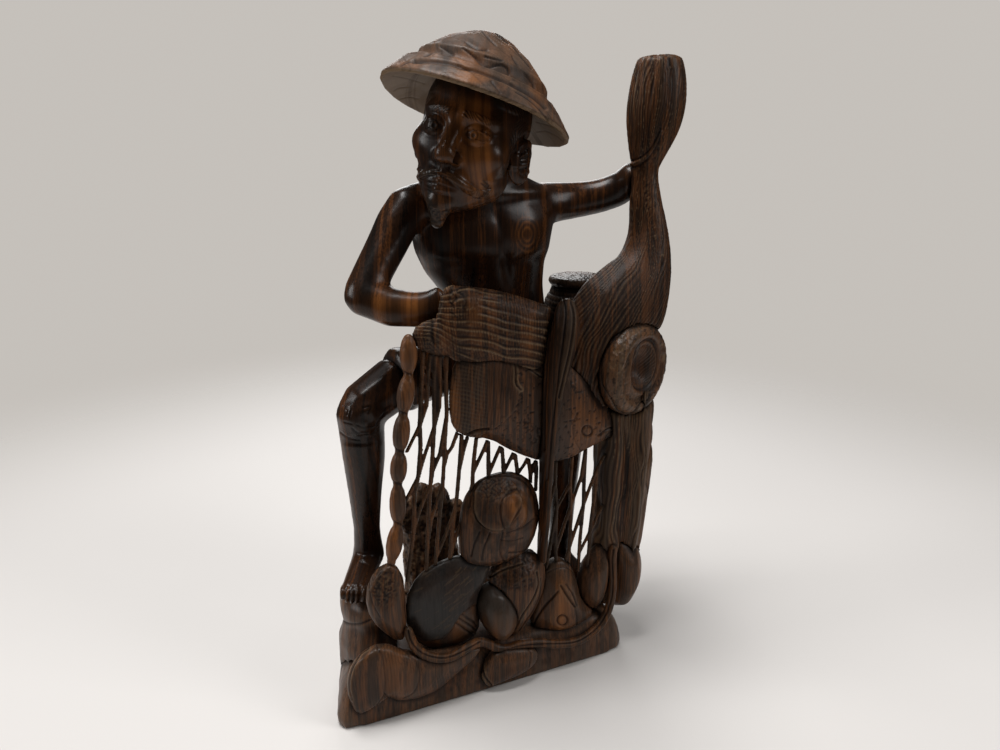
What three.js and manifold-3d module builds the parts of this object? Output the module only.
// A carved hardwood figure: a barefoot fisherman in a brimmed hat gathers a full net.
// The net hangs in front of him with its floats, open strands and catch, on a rocky foot.
// Millimetres, +Z up. The front of the carving faces -Y and its right-hand side is +X.
import * as THREE from "three";
import { mergeVertices } from "three/addons/utils/BufferGeometryUtils.js";
import Module from "manifold-3d";

const wasm = await Module();
wasm.setup();

// Driving sizes of the whole carving
const seatGap = 0.3; // clearance between pieces that seat on each other
const baseFrontWidth = 195;
const baseBackWidth = 104;
const baseFrontY = -56;
const baseBackY = 46;
const baseHeight = 30;
const screenY = -45; // the plane in which the net and its catch hang

// Sizes of the man
const hipHeight = 207;
const waistHeight = 232;
const chestHeight = 290;
const shoulderHeight = 309;
const upperArmRadius = 12;
const forearmRadius = 10.5;
const thighRadius = 18;
const kneeRadius = 14.5;
const calfRadius = 12.5;
const ankleRadius = 8.5;
const footRockTop = 71; // where the right foot stands
const leftFootHeight = 31; // where the left foot stands

// Sizes of the hat, creel and net
const brimRadius = 55.5;
const hatCrownRadius = 38.5;
const hatCrownHeight = 28.5;
const hatCrownShift = 2; // the crown sits this far to the brim's left
const creelRadius = 23.5;
const creelHeight = 46;
const creelBottom = 202;
const netNeckHeight = 325; // where the fist holds the net
const netTop = 394;
const rosetteRadius = 30;
const floatRadius = 5.2;
const hemRadius = 3;
const strandRadius = 1.25;

const v3 = (x, y, z) => new THREE.Vector3(x, y, z);
const X = v3(1, 0, 0);
const Y = v3(0, 1, 0);
const Z = v3(0, 0, 1);

// A closed geometry as a solid, turned the right way out.
function solidFrom(geometry) {
  const bare = geometry.index ? geometry.toNonIndexed() : geometry.clone();
  for (const name of ["normal", "uv"]) bare.deleteAttribute(name);
  const merged = mergeVertices(bare, 1e-4);
  const corners = merged.index.array;
  const kept = [];
  for (let i = 0; i < corners.length; i += 3) {
    const [a, b, c] = [corners[i], corners[i + 1], corners[i + 2]];
    if (a !== b && b !== c && c !== a) kept.push(a, b, c);
  }
  const build = (triangles) =>
    new wasm.Manifold(
      new wasm.Mesh({
        numProp: 3,
        vertProperties: merged.attributes.position.array,
        triVerts: new Uint32Array(triangles),
      }),
    );
  const made = build(kept);
  if (made.volume() > 0) return made;
  const turned = [];
  for (let i = 0; i < kept.length; i += 3) turned.push(kept[i], kept[i + 2], kept[i + 1]);
  return build(turned);
}

// Closes a stack of rings, each a list of points, with a point at either end.
function skin(rings, firstTip, lastTip) {
  const count = rings[0].length;
  const points = [firstTip, ...rings.flat(), lastTip];
  const last = points.length - 1;
  const triangles = [];
  const at = (ring, side) => 1 + ring * count + (side % count);
  for (let s = 0; s < count; s++) {
    triangles.push(0, at(0, s + 1), at(0, s));
    triangles.push(last, at(rings.length - 1, s), at(rings.length - 1, s + 1));
    for (let r = 0; r + 1 < rings.length; r++) {
      triangles.push(at(r, s), at(r, s + 1), at(r + 1, s));
      triangles.push(at(r, s + 1), at(r + 1, s + 1), at(r + 1, s));
    }
  }
  const geometry = new THREE.BufferGeometry().setFromPoints(points);
  geometry.setIndex(triangles);
  return solidFrom(geometry);
}

// A carved limb or fold: stations are [x, y, z, radius towards ref, radius across],
// joined by a smooth spine, with round ends. pleats ripple its sides like hanging net.
function limb(stations, { ref = Z, sides = 12, steps = 2, round = 0.9, grow = 0, pleats = 0,
  depth = 0 } = {}) {
  const spine = new THREE.CatmullRomCurve3(stations.map((s) => v3(s[0], s[1], s[2])), false,
    "catmullrom", 0.5);
  const girth = new THREE.CatmullRomCurve3(stations.map((s) => v3(s[3], s[4], 0)), false, "catmullrom",
    0.5);
  const spans = (stations.length - 1) * steps;
  const ring = (t, shrink, push) => {
    const tangent = spine.getTangent(t);
    const toward = ref.clone().addScaledVector(tangent, -ref.dot(tangent)).normalize();
    const across = new THREE.Vector3().crossVectors(tangent, toward);
    const size = girth.getPoint(t);
    const centre = spine.getPoint(t).addScaledVector(tangent, push);
    return Array.from({ length: sides }, (_, i) => {
      const angle = (2 * Math.PI * i) / sides;
      const ripple = 1 + depth * Math.cos(pleats * angle);
      return centre
        .clone()
        .addScaledVector(toward, (size.x * ripple + grow) * shrink * Math.cos(angle))
        .addScaledVector(across, (size.y * ripple + grow) * shrink * Math.sin(angle));
    });
  };
  const tip = (t, sign) => {
    const size = girth.getPoint(t);
    return sign * (Math.min(size.x, size.y) * round + grow);
  };
  const capAngle = THREE.MathUtils.degToRad(50);
  const rings = [ring(0, Math.cos(capAngle), tip(0, -1) * Math.sin(capAngle))];
  for (let i = 0; i <= spans; i++) rings.push(ring(i / spans, 1, 0));
  rings.push(ring(1, Math.cos(capAngle), tip(1, 1) * Math.sin(capAngle)));
  const first = spine.getPoint(0).addScaledVector(spine.getTangent(0), tip(0, -1));
  const last = spine.getPoint(1).addScaledVector(spine.getTangent(1), tip(1, 1));
  return skin(rings, first, last);
}

// A flat-backed or double-sided swelling: an outline in the X, Z plane, domed front and back.
function relief(outline, y, front, back, { points = 22, layers = 3, grow = 0 } = {}) {
  const curve = new THREE.CatmullRomCurve3(outline.map(([x, z]) => v3(x, y, z)), true, "catmullrom", 0.5);
  const edge = curve.getPoints(points).slice(0, points);
  const centre = edge.reduce((sum, p) => sum.add(p), v3(0, 0, 0)).divideScalar(edge.length);
  const reach = edge.reduce((sum, p) => sum + p.distanceTo(centre), 0) / edge.length;
  const layer = (angle, bulge) =>
    edge.map((p) => {
      const scale = Math.cos(angle) * (1 + grow / reach);
      const at = centre.clone().lerp(p, scale);
      at.y = y + Math.sin(angle) * (bulge + Math.sign(bulge) * grow);
      return at;
    });
  const angles = Array.from({ length: layers }, (_, i) => ((i + 0.35) / (layers + 0.1)) * (Math.PI / 2));
  const rings = [
    ...[...angles].reverse().map((a) => layer(a, -front)),
    ...angles.map((a) => layer(a, back)),
  ];
  const tip = (bulge) => v3(centre.x, y + bulge + Math.sign(bulge) * grow, centre.z);
  return skin(rings, tip(-front), tip(back));
}

// A round swelling.
function ball(at, radii, { grow = 0, across = 10, down = 7, turn = null } = {}) {
  const geometry = new THREE.SphereGeometry(1, across, down);
  geometry.rotateX(Math.PI / 2);
  geometry.scale(radii[0] + grow, radii[1] + grow, radii[2] + grow);
  if (turn) geometry.applyQuaternion(turn);
  geometry.translate(at[0], at[1], at[2]);
  return solidFrom(geometry);
}

// A turned form, its profile given as [radius, height] from the bottom of its axis to the top.
function turned(profile, segments = 24) {
  const geometry = new THREE.LatheGeometry(profile.map(([r, z]) => new THREE.Vector2(r, z)), segments);
  geometry.rotateX(Math.PI / 2);
  return geometry;
}

const joined = (solids) => solids.reduce((whole, next) => whole.add(next));
const largest = (solid) => solid.decompose().sort((a, b) => b.volume() - a.volume())[0];

// The wood of each finish
const wood = {
  polished: new THREE.MeshStandardMaterial({ color: 0x2c1a12, roughness: 0.32, metalness: 0 }),
  hat: new THREE.MeshStandardMaterial({ color: 0x5a4438, roughness: 0.6, metalness: 0 }),
  net: new THREE.MeshStandardMaterial({ color: 0x3c271b, roughness: 0.5, metalness: 0 }),
  catch: new THREE.MeshStandardMaterial({ color: 0x44291b, roughness: 0.42, metalness: 0 }),
  rock: new THREE.MeshStandardMaterial({ color: 0x33221b, roughness: 0.55, metalness: 0 }),
  creel: new THREE.MeshStandardMaterial({ color: 0x3a322b, roughness: 0.6, metalness: 0 }),
};

// Every piece is cut back from the pieces placed before it, so that it seats on them with seatGap.
const carving = new THREE.Group();
const placed = [];
function place(name, material, shape) {
  let solid = shape(0);
  for (const earlier of placed) {
    const near = solid.boundingBox();
    const far = earlier.grown.boundingBox();
    const apart = [0, 1, 2].some((i) => near.min[i] > far.max[i] || near.max[i] < far.min[i]);
    if (!apart) solid = solid.subtract(earlier.grown);
  }
  solid = largest(solid);
  placed.push({ name, grown: shape(seatGap) });
  const mesh = solid.getMesh();
  const geometry = new THREE.BufferGeometry();
  geometry.setAttribute("position", new THREE.BufferAttribute(mesh.vertProperties, 3));
  geometry.setIndex(new THREE.BufferAttribute(mesh.triVerts, 1));
  geometry.computeVertexNormals();
  const piece = new THREE.Mesh(geometry, material);
  piece.name = name;
  carving.add(piece);
}

// Base: a wedge-shaped foot, widest in front, with sloping sides
function base(grow) {
  const half = baseFrontWidth / 2;
  const back = baseBackWidth / 2;
  const plan = [
    [-half, baseFrontY],
    [0, baseFrontY - 2],
    [half, baseFrontY],
    [half + 4, baseFrontY + 28],
    [half - 8, baseFrontY + 60],
    [back + 8, baseBackY - 12],
    [back - 18, baseBackY],
    [18 - back, baseBackY],
    [-back - 14, baseBackY - 12],
    [10 - half, baseFrontY + 56],
    [2 - half, baseFrontY + 28],
  ];
  const rim = new THREE.CatmullRomCurve3(plan.map(([x, y]) => v3(x, y, 0)), true, "catmullrom", 0.25);
  const edge = rim.getPoints(34).slice(0, 34);
  const middle = v3(0, (baseFrontY + baseBackY) / 2, 0);
  const level = (z, inset) =>
    edge.map((p) => {
      const out = p.clone().sub(middle);
      const at = middle.clone().addScaledVector(out, (out.length() - inset + grow) / out.length());
      return at.setZ(z);
    });
  const rings = [
    level(-grow, 0),
    level(baseHeight * 0.25, 0.5),
    level(baseHeight * 0.62, 4),
    level(baseHeight * 0.9 + grow, 10),
    level(baseHeight + grow, 20),
  ];
  return skin(rings, middle.clone().setZ(-grow), middle.clone().setZ(baseHeight + 2 + grow * 1.5));
}
place("rocky_base", wood.rock, base);

// Lobes carved on the front of the base
place("front_lobe_left", wood.rock, (grow) =>
  relief(
    [[-93, 14], [-95, 32], [-88, 48], [-72, 54], [-54, 42], [-30, 36], [-6, 33], [-24, 18], [-44, 8],
      [-64, 11],
      [-74, 18], [-86, 9]],
    baseFrontY, 6, 18, { points: 26, layers: 2, grow },
  ),
);
place("front_lobe_middle", wood.rock, (grow) =>
  relief([[-9, 14], [-5, 3.5], [8, 5], [20, 6], [30, 11], [32, 20], [20, 26],
    [2, 28]], baseFrontY - 2, 6, 18,
    { points: 18, layers: 2, grow }),
);

// Hem: the corded lower edge of the net, over the base and up the side
place("hem_rope", wood.net, (grow) => {
  const route = [[-54.5, -52, 57], [-52.5, -55, 48.5], [-47, -57, 41], [-38, -58.5, 36], [-28, -58.5, 34.5],
    [-17, -57, 37], [-7, -55, 36.5], [2.5, -56, 30], [11, -57, 27], [20, -56.5, 27.5], [34, -57, 25],
    [44, -58, 21.5], [56, -58, 18.5], [66, -57, 18], [75, -56, 20.5], [83, -55, 25.5], [88, -54, 33],
    [91, -53, 43], [92, -52, 55.5], [91.5, -51, 67], [92, -50, 79]];
  return limb(route.map((at) => [...at, hemRadius, hemRadius]),
    { ref: v3(0.2, -1, 0.2), sides: 6, steps: 2, grow });
});

// The catch low in the net
place("mussel_shell", wood.catch, (grow) =>
  relief([[-6, 52], [-7, 61], [-3, 70], [5, 73], [14, 66], [20, 52], [20, 42], [16, 34], [11, 30], [6, 30],
    [0, 37], [-4, 45]], screenY - 1, 17, 12,
    { points: 18, grow }),
);
place("mussel_leaf", wood.catch, (grow) =>
  relief([[1, 75], [6, 84], [14, 89], [25, 91], [35, 88], [41, 78], [42, 66], [39, 54], [33, 42], [25, 32],
    [17, 28], [12, 40], [3, 60]], screenY, 14, 10,
    { points: 20, layers: 2, grow }),
);
place("lower_fish", wood.catch, (grow) =>
  relief([[41, 70], [47, 76], [55, 77], [62, 71], [67, 58], [70, 45], [76, 35], [84, 27], [80, 20], [68, 16],
    [56, 14], [44, 18], [36, 25], [33, 34], [36, 46], [39, 58]],
    screenY + 2, 13, 14, { points: 22, layers: 2, grow }),
);
place("flat_stone", wood.rock, (grow) =>
  relief([[-52, 77], [-45, 88], [-36, 93], [-26, 96], [-15, 96.5], [-5, 94], [3, 88], [2, 80], [-4, 71],
    [-6, 60], [-4, 46], [-8, 35], [-15, 33], [-25, 31], [-35, 32], [-44, 38], [-51, 48], [-54, 62]],
    screenY, 9, 12, { points: 26, grow }),
);
place("hooded_shell", wood.catch, (grow) =>
  joined([
    relief([[-18, 106], [-17, 120], [-14, 134], [-6, 144], [6, 148], [19, 147], [31, 139], [37, 121],
      [35, 102], [26, 88], [8, 84], [-8, 86], [-16, 92]],
      screenY, 13, 12, { points: 24, grow }),
    ball([9, -56, 125], [14, 7, 15], { grow, across: 10, down: 7 }),
  ]),
);

// Ends of the hem: a lobe at the left and two at the right
place("end_lobe_left", wood.net, (grow) =>
  relief([[-62, 103], [-72, 98], [-78, 84], [-76, 68], [-67, 54], [-57, 46], [-54, 58], [-54, 76],
    [-55, 94]],
    screenY - 1, 9, 12, { points: 16, layers: 2, grow }),
);
place("end_lobe_front", wood.net, (grow) =>
  relief([[74, 34], [70, 50], [74, 66], [84, 78], [93, 80], [93, 56], [88, 34],
    [80, 28]], screenY + 3, 12, 12,
    { points: 16, layers: 2, grow }),
);
place("end_lobe_side", wood.net, (grow) =>
  relief([[95, 80], [106, 83], [117, 76], [122, 58], [119, 38], [109, 20], [98, 26],
    [94, 44]], screenY + 14, 25, 20,
    { points: 18, layers: 3, grow }),
);

// Fold: a long pointed fold hangs down the middle of the screen
place("net_fold", wood.net, (grow) =>
  limb(
    [[51, -50, 250, 6, 6], [49, -52, 238, 9.5, 8.5], [45, -53, 221, 8.5, 9.5], [41, -54, 201, 6.2, 9.5],
      [39, -54, 176, 4.2, 9], [38, -53, 150, 3, 8], [38, -52, 118, 2.3, 7], [37, -51, 84, 2.2, 6]],
    { ref: X, sides: 10, grow },
  ),
);

// Rosette: a round shell at the corner of the net, on a leaf
const rosetteAt = v3(105, -46, 204);
const rosetteFacing = v3(0.37, -0.93, 0).normalize();
place("rosette", wood.catch, (grow) => {
  const profile = [[0, -14], [0.8, -13], [1, -6], [1.02, 0], [0.93, 5], [0.8, 6.5], [0.66, 3.5], [0.5, 5],
    [0.32, 3], [0.16, -1], [0, -2]];
  const geometry = turned(profile.map(([share, z]) => [share * (rosetteRadius + grow),
    z + Math.sign(z + 3) * grow]), 26);
  geometry.applyQuaternion(new THREE.Quaternion().setFromUnitVectors(Z, rosetteFacing));
  geometry.translate(rosetteAt.x, rosetteAt.y, rosetteAt.z);
  return solidFrom(geometry);
});
place("rosette_leaf", wood.catch, (grow) =>
  relief([[112, 176], [126, 178], [134, 194], [131, 204], [135, 214], [129, 228], [114, 233], [104, 206]],
    screenY + 16, 8, 10, { points: 16, layers: 2, grow }),
);

// The catch across the top of the net: a large fish, nose to the right
place("large_fish", wood.catch, (grow) =>
  relief(
    [[6, 230], [-8, 231], [-18, 225], [-22, 210], [-23, 196], [-21, 183], [-13, 176], [2, 171], [18, 160],
      [38, 150],
      [58, 149], [76, 155],
      [91, 160], [92, 168], [84, 184], [68, 202], [44, 222], [22, 228]],
    screenY, 9, 8, { points: 30, grow },
  ),
);

// Band: the meshed top edge of the net, held in the other hand
place("net_band", wood.net, (grow) =>
  joined([
    relief(
      [[-26, 262], [-18, 268], [10, 262], [36, 253], [44, 248], [43, 226], [40, 208], [24, 212],
        [6, 219], [-10, 220], [-22, 226], [-29, 240]],
      screenY, 11, 9, { points: 26, grow },
    ),
    relief([[-41, 246], [-43, 238], [-38, 232], [-24, 227], [-18, 240], [-27, 250]], screenY, 5, 6,
      { points: 12, layers: 2, grow }),
  ]),
);

// Bundle: the gathered side of the net falls to the base in long pleats
place("net_bundle", wood.net, (grow) =>
  joined([
    limb(
      [[106, -26, 34, 12, 19], [108, -27, 62, 14, 22], [110, -27, 100, 15, 24], [111, -27, 140, 16, 25],
        [110, -26, 190, 16, 24]],
      { ref: X, sides: 16, steps: 1, round: 0.4, grow, pleats: 8, depth: 0.06 },
    ),
    limb([[92, -36, 34, 8, 12], [93, -38, 70, 9, 13], [93, -38, 110, 9, 13], [93, -38, 176, 10, 13]],
      { ref: X, sides: 8, steps: 1, round: 0.4, grow }),
  ]),
);

// Drape: the net widens from the fist to the screen
place("net_drape", wood.net, (grow) =>
  limb(
    [[122, -18, netNeckHeight - 3, 8, 9], [123, -20, 304, 10, 11.5], [124, -23, 286, 12.5, 14],
      [120, -26, 266, 19, 17], [109, -29, 248, 29, 19], [94, -31, 228, 34.5, 20], [86, -32, 204, 36, 20],
      [84, -32, 182, 32, 18]],
    { ref: X, sides: 16, round: 0.35, grow, pleats: 8, depth: 0.02 },
  ),
);

// Crown: the tip of the net above the fist, cut off flat
place("net_crown", wood.net, (grow) =>
  limb(
    [[122, -18, netNeckHeight + 3, 8.5, 8.5], [123.5, -18, 338, 12, 12], [126, -18, 352, 16.5, 16],
      [128, -18, 366, 18, 17.5], [128.5, -18, 381, 16.5, 16], [128, -18, netTop - 2, 13.5, 13.5]],
    { ref: X, sides: 18, round: 0.12, grow },
  ),
);

// Rocks that stand on the base
place("foot_rock", wood.rock, (grow) =>
  limb(
    [[-70, -14, 16, 21, 27], [-72, -15, 34, 18, 27], [-70, -12, 44, 15.5, 24], [-71, -12, 56, 16.5, 26],
      [-71, -12, footRockTop - 8, 14.5, 23]],
    { ref: X, sides: 12, round: 0.5, grow },
  ),
);
place("coral_rock", wood.rock, (grow) =>
  joined([
    limb([[-10, 26, 20, 26, 15], [-12, 27, 48, 22, 13], [-14, 28, 74, 20, 11],
      [-13, 28, 90, 17, 10]],
      { ref: X, sides: 10, round: 0.6, grow }),
    ...[[-30, 92], [-19, 101], [-6, 98], [7, 84]].map(([x, z]) =>
      ball([x, 28, z], [8.5, 8, 14], { grow, across: 7, down: 5 })),
  ]),
);
place("back_rock", wood.rock, (grow) =>
  joined([
    ball([40, 22, 30], [32, 20, 18], { grow, across: 10, down: 7 }),
    ball([64, 6, 26], [24, 22, 15], { grow, across: 10, down: 7 }),
  ]),
);

// Floats: a string of oval floats down the free edge of the net
const floatLine = [[-45, 242], [-46, 219], [-50, 196], [-53, 173], [-55, 153], [-56, 127], [-61, 103]];
floatLine.slice(1).forEach(([x, z], i) => {
  const top = v3(floatLine[i][0], screenY, floatLine[i][1]);
  const foot = v3(x, screenY, z);
  const turn = new THREE.Quaternion().setFromUnitVectors(Z, top.clone().sub(foot).normalize());
  const middle = top.clone().add(foot).divideScalar(2);
  const radii = [floatRadius, floatRadius, top.distanceTo(foot) * 0.52];
  place("float_" + (i + 1), wood.net, (grow) => ball(middle.toArray(), radii,
    { grow, across: 8, down: 7, turn }));
});

// Head: its own frame looks towards the left front and leans a little to the right
const headAt = v3(4, -19, 346);
const headUp = v3(0.27, -0.03, 0.96).normalize();
const headFacing = THREE.MathUtils.degToRad(-42);
const headSide = new THREE.Vector3()
  .crossVectors(headUp, v3(Math.sin(headFacing), -Math.cos(headFacing), 0))
  .normalize();
const headFront = new THREE.Vector3().crossVectors(headSide, headUp).normalize();
const headTurn = new THREE.Quaternion().setFromRotationMatrix(
  new THREE.Matrix4().makeBasis(headSide, headFront.clone().negate(), headUp),
);
const inHead = (side, front, up) =>
  headAt.clone().addScaledVector(headSide, side).addScaledVector(headFront,
    front).addScaledVector(headUp, up);

place("head", wood.polished, (grow) => {
  const lump = (side, front, up, radii, across = 8, down = 6) =>
    ball(inHead(side, front, up).toArray(), radii, { grow, across, down, turn: headTurn });
  const ridge = (stations, sides = 6) =>
    limb(stations.map(([side, front, up, ...radii]) => [...inHead(side, front, up).toArray(), ...radii]),
      { ref: headFront, sides, steps: 1, grow });
  const both = (make) => [make(-1), make(1)];
  return joined([
    lump(0, -2, 10, [29.5, 33, 31], 12, 8),
    ridge([[0, 4, 14, 22, 24], [0, 7, -6, 23.5, 26], [0, 11, -24, 19, 22], [0, 15, -36, 12, 14],
      [0, 18, -42, 8, 8]], 12),
    ridge([[0, 28, 2, 5, 3.5], [0, 33, -9, 5, 4], [0, 35, -17, 5.5, 5]], 8),
    ridge([[-5, 31, -19, 3, 3], [5, 31, -19, 3, 3]]),
    ridge([[-19, 24, 6, 4, 3], [-9, 29, 8, 4, 3], [9, 29, 8, 4, 3], [19, 24, 6, 4, 3]]),
    ridge([[-9, 27.5, -31, 3.5, 3], [0, 31, -30, 4, 4], [9, 27.5, -31, 3.5, 3]]),
    ridge([[-14, 25, -29, 2.2, 2.2], [0, 32, -23.5, 3.4, 3], [14, 25, -29, 2.2, 2.2]]),
    ridge([[0, 20, -42, 6.5, 6], [0, 19, -50, 3.5, 3.5]]),
    ...both((s) => lump(s * 11, 26, -1, [6, 4, 4])),
    ...both((s) => lump(s * 18.5, 17, -13, [8, 9, 8])),
    ...both((s) => lump(s * 31, -3, -7, [5.5, 8, 13])),
  ]);
});

// Hat: a peaked crown on a drooping brim, seated on the head
const hatUp = v3(0.342, 0.048, 0.939).normalize();
const hatAt = inHead(0, -2, 24).add(v3(-0.6, 0.2, 3.9));
place("hat", wood.hat, (grow) => {
  const brim = brimRadius + grow;
  const crown = hatCrownRadius + grow;
  const rise = hatCrownHeight + grow;
  const geometry = turned(
    [
      [0, 2 - grow],
      [crown * 0.7, 1 - grow],
      [brim - 1.5, -15 - grow],
      [brim, -13.5],
      [brim - 1, -12 + grow],
      [(brim + crown) / 2, -3.5 + grow],
      [crown + 2, 1.5 + grow],
      [crown, 3 + grow],
      [crown * 0.975, rise * 0.24],
      [crown * 0.85, rise * 0.4],
      [crown * 0.64, rise * 0.64],
      [crown * 0.4, rise * 0.85],
      [crown * 0.16, rise * 0.98],
      [0, rise],
    ],
    26,
  );
  const at = geometry.attributes.position;
  for (let i = 0; i < at.count; i++) {
    const out = Math.hypot(at.getX(i), at.getY(i));
    const inward = THREE.MathUtils.clamp((brimRadius - out) / (brimRadius - hatCrownRadius), 0, 1);
    at.setX(i, at.getX(i) - hatCrownShift * inward);
  }
  const side = new THREE.Vector3().crossVectors(Y, hatUp).normalize();
  const back = new THREE.Vector3().crossVectors(hatUp, side);
  geometry.applyMatrix4(new THREE.Matrix4().makeBasis(side, back, hatUp).setPosition(hatAt));
  return solidFrom(geometry);
});

// Shorts: hips and both thighs, down to the rolled cuffs
const rightHip = [16, 8, hipHeight + 3];
const rightCuff = [-42, -6.5, 203];
const leftHip = [54, 14, hipHeight];
const leftCuff = [72, -3, 180];
place("shorts", wood.polished, (grow) => {
  const sleeve = thighRadius + 1.5;
  const leg = (hip, cuff) => {
    const toCuff = (t) => hip.map((v, i) => v + (cuff[i] - v) * t);
    return [
      limb([[...hip, sleeve + 1, sleeve + 1], [...toCuff(0.5), sleeve, sleeve],
        [...cuff, sleeve - 1, sleeve - 1]],
        { ref: Y, sides: 10, steps: 1, round: 0.2, grow }),
      limb([[...toCuff(0.88), sleeve + 1.5, sleeve + 1.5], [...cuff, sleeve + 1, sleeve + 1]],
        { ref: Y, sides: 10, steps: 1, round: 0.15, grow }),
    ];
  };
  return joined([
    limb([[42, 17, hipHeight - 9, 31, 21], [42, 18, hipHeight + 8, 32, 22],
      [43, 18, waistHeight, 30, 20.5]],
      { ref: X, sides: 14, steps: 1, round: 0.4, grow }),
    ...leg(rightHip, rightCuff),
    ...leg(leftHip, leftCuff),
  ]);
});

// Torso, from the waist to the neck
place("torso", wood.polished, (grow) =>
  limb(
    [[43, 18, waistHeight - 4, 28, 19], [39, 17, waistHeight + 14, 29, 18.5], [30, 13, 268, 40, 22],
      [23, 9, chestHeight, 47.5, 24], [20, 6, shoulderHeight, 44, 18.5], [17, 0, 323, 19, 14],
      [12, -7, 336, 13, 13]],
    { ref: X, sides: 18, round: 0.5, grow },
  ),
);

// Creel: a lidded fish basket at the hip
const creelAt = [96.5, 20];
function basket(profile, grow) {
  const geometry = turned(profile.map(([r, z]) => [r > 0 ? r + grow : 0, z]), 20);
  geometry.translate(creelAt[0], creelAt[1], creelBottom);
  return solidFrom(geometry);
}
place("creel", wood.creel, (grow) =>
  basket(
    [
      [0, -grow],
      [creelRadius * 0.72, -grow],
      [creelRadius * 0.95, creelHeight * 0.25],
      [creelRadius, creelHeight * 0.55],
      [creelRadius * 0.93, creelHeight * 0.78],
      [creelRadius * 0.76, creelHeight * 0.92],
      [creelRadius * 0.76, creelHeight + grow],
      [0, creelHeight + grow],
    ],
    grow,
  ),
);
place("creel_lid", wood.creel, (grow) =>
  basket(
    [
      [0, creelHeight],
      [creelRadius * 0.78, creelHeight],
      [creelRadius * 0.84, creelHeight + 3],
      [creelRadius * 0.78, creelHeight + 6 + grow],
      [0, creelHeight + 7 + grow],
    ],
    grow,
  ),
);

// Right arm: elbow out to the left, its hand behind the edge of the band
const rightElbow = [-63, -15, 260];
place("right_upper_arm", wood.polished, (grow) =>
  limb(
    [[-12, 6, 308, 13, 14], [-29, 3, 306, upperArmRadius + 1, upperArmRadius + 1],
      [-44, -4, 286, upperArmRadius, upperArmRadius], [...rightElbow, 11, 11]],
    { ref: Z, sides: 12, grow },
  ),
);
place("right_forearm", wood.polished, (grow) =>
  joined([
    limb(
      [[...rightElbow, 11.5, 11.5], [-48, -24, 253, forearmRadius + 1, forearmRadius + 1],
        [-34, -31, 252, forearmRadius, 9], [-22, -34, 254, 10.5, 7]],
      { ref: Z, sides: 10, steps: 1, grow },
    ),
    limb([[-26, -34, 246, 5, 4], [-24, -34, 262, 5, 4]], { ref: Y, sides: 6, steps: 1, grow }),
  ]),
);

// Left arm: raised to the net, the fist behind its neck
place("left_arm", wood.polished, (grow) =>
  joined([
    limb(
      [[54, 9, 303, 15, 14], [68, 12, 305, 13.5, 13], [86, 12, 306, upperArmRadius, upperArmRadius],
        [104, 5, 309, 11, 11], [115, -2, netNeckHeight - 11, 11, 10.5]],
      { ref: Z, sides: 12, grow },
    ),
    ball([120, -8, netNeckHeight - 6], [12, 12, 12], { grow, across: 10, down: 7 }),
  ]),
);

// Legs: the right one is bent up onto its rock, the left one stands behind the net
function shinAndFoot(knee, calf, ankle, heel, toe, grow) {
  return joined([
    limb(
      [[...knee, kneeRadius, kneeRadius], [...calf, calfRadius, calfRadius],
        [...ankle, ankleRadius, ankleRadius],
        [...heel, 9.5, 10]],
      { ref: X, sides: 12, grow },
    ),
    limb([[...heel, ankleRadius, 9.5], [...toe, 5.5, 10.5]], { ref: Z, sides: 10, steps: 1, grow }),
  ]);
}
const rightHeel = [-64, 8, footRockTop + 7.5];
const rightToe = [-80, -26, footRockTop + 3];
place("right_leg", wood.polished, (grow) =>
  joined([
    limb([[...rightCuff, thighRadius - 1.5, thighRadius - 1.5],
      [-66, -12, 191, kneeRadius + 0.5, kneeRadius + 0.5]],
      { ref: Z, sides: 10, steps: 1, grow }),
    shinAndFoot([-67, -11, 189], [-66, -7, 156], [-64, 4, 102], rightHeel, rightToe, grow),
  ]),
);
const leftHeel = [85, 16, leftFootHeight + 7];
const leftToe = [88, -10, leftFootHeight + 4];
place("left_leg", wood.polished, (grow) =>
  joined([
    limb([[...leftCuff, thighRadius - 1.5, thighRadius - 1.5],
      [78, -8, 166, kneeRadius + 0.5, kneeRadius + 0.5]],
      { ref: Y, sides: 10, steps: 1, grow }),
    shinAndFoot([78, -7, 167], [81, 3, 132], [85, 12, 62], leftHeel, leftToe, grow),
  ]),
);

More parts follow.
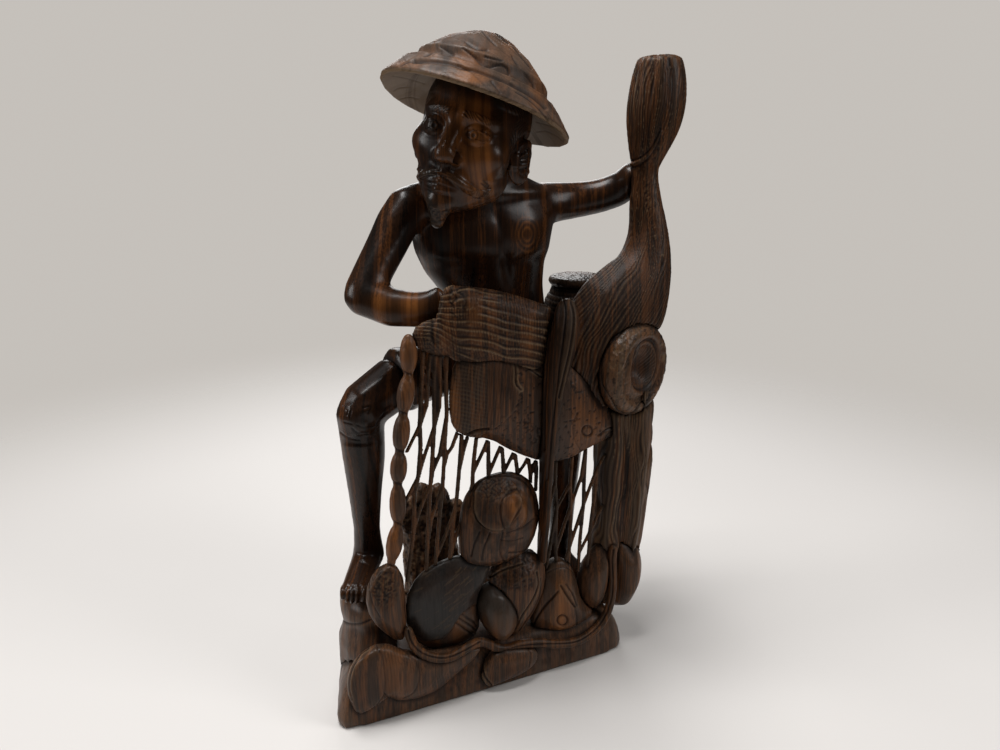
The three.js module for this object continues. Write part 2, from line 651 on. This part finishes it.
// Open strands: thin bars on the screen that part and meet again, so that the openings between
// them are tall lozenges. Each line is a list of [x, z], from top to bottom.
function strand(line, grow) {
  const reach = strandRadius + 1.4 * grow;
  const points = line.map(([x, z]) => v3(x, screenY, z));
  const ring = (at) =>
    [[-1, 0], [0, -1], [1, 0], [0, 1]].map(([x, y]) => at.clone().add(v3(x * reach, y * reach, 0)));
  const beyond = (end, inner) =>
    end.clone().addScaledVector(end.clone().sub(inner).normalize(), grow);
  const last = points.length - 1;
  return skin(points.map(ring), beyond(points[0], points[1]), beyond(points[last], points[last - 1]));
}
const strands = (lines, grow) => joined(lines.map((line) => strand(line, grow)));
place("left_strands", wood.net, (grow) =>
  strands(
    [
      [[-36, 244], [-37, 232], [-39.5, 200], [-40.5, 187], [-40.5, 173], [-42.5, 155], [-45, 145],
        [-46.5, 120], [-49, 104], [-52, 87]],
      [[-32, 244], [-32.5, 231], [-34.5, 218], [-36, 199], [-40.5, 187], [-49, 172]],
      [[-29.5, 236], [-31, 214], [-31.7, 185], [-33, 170], [-35, 149], [-36.2, 136], [-38.5, 105],
        [-39.5, 88]],
      [[-27, 232], [-28.3, 197], [-31.7, 185], [-40, 163], [-42.5, 155], [-53, 137]],
      [[-22.8, 232], [-24, 213], [-23.7, 194], [-25, 180], [-26, 163], [-27.5, 146], [-30, 126],
        [-34, 90]],
      [[-24.3, 189], [-28.5, 168], [-33.5, 157], [-35, 149], [-42, 134], [-46.3, 122]],
      [[-16.5, 182], [-21, 170.5], [-24.5, 166], [-26, 160]],
      [[-14.5, 182], [-15, 174], [-16.7, 155], [-18.4, 138.5], [-20, 128.5], [-22.5, 110], [-24.5, 92]],
      [[-9.5, 180], [-13.8, 167], [-16.7, 155]],
      [[-14.5, 126], [-17, 117.5], [-21.5, 105], [-24.2, 94]],
      [[-20, 128.5], [-26.7, 112], [-33, 99]],
      [[-27.5, 146], [-35.5, 125], [-38.2, 110]],
    ],
    grow,
  ),
);
place("middle_strands", wood.net, (grow) =>
  strands(
    [
      [[-4.5, 178], [-5.5, 173], [-7.2, 160], [-8, 151], [-8.2, 144], [-11, 136], [-14, 127]],
      [[2.2, 172], [-0.4, 166], [-8, 151]],
      [[2.2, 174], [2.3, 155], [2.3, 141]],
      [[11, 167], [8.4, 161.5], [2.3, 148]],
      [[11, 169], [11.4, 164], [12.2, 154], [12.2, 140]],
      [[19.6, 161], [17, 155.8], [12.2, 147]],
      [[19.6, 163], [20.4, 158], [21.7, 148], [21.8, 136]],
      [[29.3, 155.5], [26.8, 150.8], [21.8, 144.5]],
      [[29.4, 157], [29.7, 152], [31, 143.5], [31, 130]],
      [[34.9, 152.5], [33.2, 149], [31, 142]],
      [[34.8, 156], [35.2, 145], [35, 131]],
    ],
    grow,
  ),
);
place("right_strands", wood.net, (grow) =>
  strands(
    [
      [[49, 155], [48.8, 134.5], [45, 117.5], [41, 104], [39, 97]],
      [[61, 155], [59.8, 131], [61, 113], [61, 94], [60.5, 71]],
      [[59.8, 131], [50.2, 115], [46.2, 89], [43, 68]],
      [[48.8, 134.5], [50.2, 115], [50, 95.5], [51, 70]],
      [[70.8, 158], [70.2, 151.5], [68.1, 134.5], [61, 115], [54.7, 97], [50.5, 84]],
      [[70.8, 158], [70.2, 130.5], [70.4, 113.3], [68.8, 90], [68, 64]],
      [[85, 147], [80.2, 139], [75, 126], [70.4, 113.3], [67, 103], [61.5, 86], [57.5, 72]],
      [[80.2, 139], [79.4, 127], [77.2, 104.5], [76.1, 92], [75, 60]],
      [[85.5, 110], [81.7, 103.5], [76.1, 92], [68, 77]],
    ],
    grow,
  ),
);

// The origin lies under the middle of the carving, on the surface that it stands on.
const reach = new THREE.Box3().setFromObject(carving);
const middle = reach.getCenter(v3(0, 0, 0));
carving.position.set(-middle.x, -middle.y, -reach.min.z);

export default carving;
